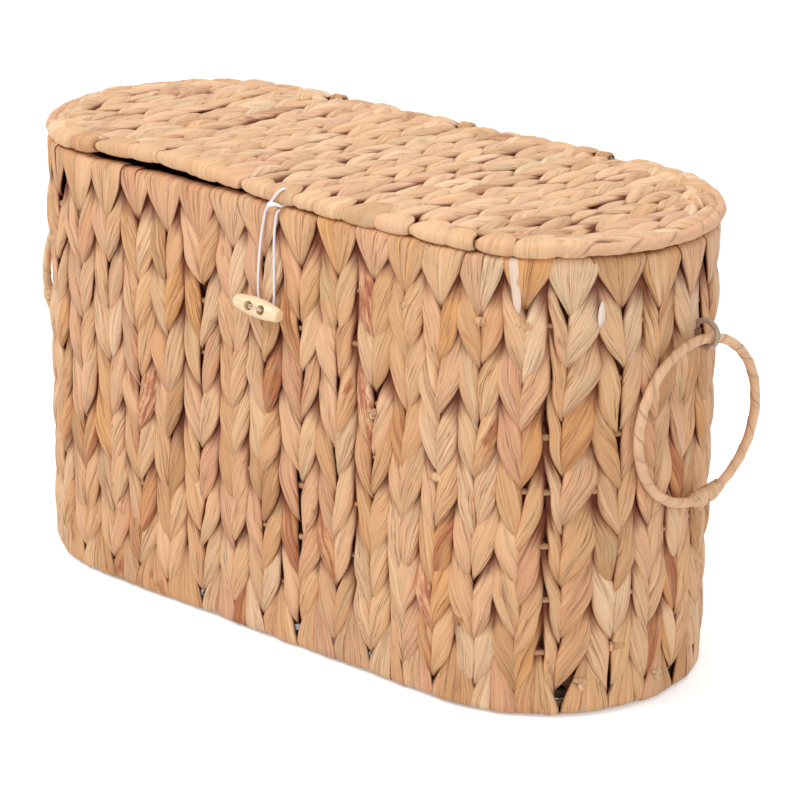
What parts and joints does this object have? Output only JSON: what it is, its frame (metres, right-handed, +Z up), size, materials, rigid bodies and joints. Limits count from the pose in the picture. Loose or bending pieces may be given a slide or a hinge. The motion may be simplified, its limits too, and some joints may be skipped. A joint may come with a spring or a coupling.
{
  "type": "lidded toilet paper storage basket",
  "caption": "Racetrack-shaped woven storage basket with hinged lid, toggle and elastic loop closure, and hanging hoop handles at both ends.",
  "frame": {"origin": "on the underside of the woven base, midway along and across the basket", "axes": "+X along the basket towards the right-hand handle, -Y out of the front with the toggle, +Z up"},
  "size_m": [0.4943, 0.2118, 0.2816],
  "materials": {
    "weave": "dried water hyacinth leaf, flat strands, matte with a slight sheen",
    "frame_wire": "straw-coloured coated steel wire",
    "tie": "twisted leaf strand",
    "toggle_wood": "pale turned wood, thin satin varnish",
    "thread": "fine sewing thread",
    "elastic": "white braided elastic cord",
    "ring_metal": "taupe-brown plated wire ring",
    "handle_wrap": "cane hoop wound with split pale strip"
  },
  "bodies": {
    "root": {"body_weave": "weave", "base_weave": "weave", "base_rim_wire": "frame_wire", "top_rim_wire": "frame_wire", "hoop_wire_1": "frame_wire", "hoop_wire_2": "frame_wire", "hoop_wire_3": "frame_wire", "hoop_wire_4": "frame_wire", "hoop_wire_5": "frame_wire", "hoop_wire_6": "frame_wire", "hoop_wire_7": "frame_wire", "upright_wire_1": "frame_wire", "upright_wire_2": "frame_wire", "upright_wire_3": "frame_wire", "upright_wire_4": "frame_wire", "upright_wire_5": "frame_wire", "upright_wire_6": "frame_wire", "upright_wire_7": "frame_wire", "upright_wire_8": "frame_wire", "upright_wire_9": "frame_wire", "upright_wire_10": "frame_wire", "base_wire_1": "frame_wire", "base_wire_2": "frame_wire", "base_wire_3": "frame_wire", "hinge_tie_1": "tie", "hinge_tie_2": "tie", "hinge_tie_3": "tie", "handle_ring_tie_right": "tie", "handle_ring_tie_left": "tie"},
    "lid": {"lid_weave": "weave", "lid_rim_wire": "frame_wire", "lid_wire_1": "frame_wire", "lid_wire_2": "frame_wire", "lid_wire_3": "frame_wire", "lid_wire_4": "frame_wire", "lid_wire_5": "frame_wire", "lid_wire_6": "frame_wire", "elastic_lid_turn": "elastic"},
    "elastic": {"elastic_loop": "elastic"},
    "toggle": {"toggle": "toggle_wood", "toggle_thread": "thread"},
    "ring_right": {"handle_ring_right": "ring_metal"},
    "ring_left": {"handle_ring_left": "ring_metal"},
    "handle_right": {"handle_hoop_right": "handle_wrap", "handle_binding_right": "handle_wrap"},
    "handle_left": {"handle_hoop_left": "handle_wrap", "handle_binding_left": "handle_wrap"}
  },
  "joints": [
    {"name": "lid_hinge", "type": "hinge", "parent": "root", "child": "lid", "pos_m": [0, 0.0949, 0.275], "axis": [-1, 0, 0], "range_deg": [0, 100]},
    {"name": "elastic_swing", "type": "hinge", "parent": "lid", "child": "elastic", "pos_m": [0.0145, -0.098, 0.2703], "axis": [-1, 0, 0], "range_deg": [-90, 0], "deforming": ["elastic_loop"]},
    {"name": "toggle_swivel", "type": "hinge", "parent": "root", "child": "toggle", "pos_m": [0.0085, -0.106, 0.2098], "axis": [0, 1, 0], "range_deg": [-90, 90]},
    {"name": "ring_right_swing", "type": "hinge", "parent": "root", "child": "ring_right", "pos_m": [0.22915, 0.0125, 0.216], "axis": [0, -1, 0], "range_deg": [0, 30]},
    {"name": "ring_left_swing", "type": "hinge", "parent": "root", "child": "ring_left", "pos_m": [-0.22988, 0.007, 0.216], "axis": [0, 1, 0], "range_deg": [0, 30]},
    {"name": "handle_right_swing", "type": "hinge", "parent": "ring_right", "child": "handle_right", "pos_m": [0.2384, 0.0125, 0.21379], "axis": [0, -1, 0], "range_deg": [0, 130]},
    {"name": "handle_left_swing", "type": "hinge", "parent": "ring_left", "child": "handle_left", "pos_m": [-0.23758, 0.007, 0.2133], "axis": [0, 1, 0], "range_deg": [0, 130]}
  ],
  "couplings": [
    {"joint": "elastic_swing", "follows": "lid_hinge", "ratio": -0.9}
  ]
}
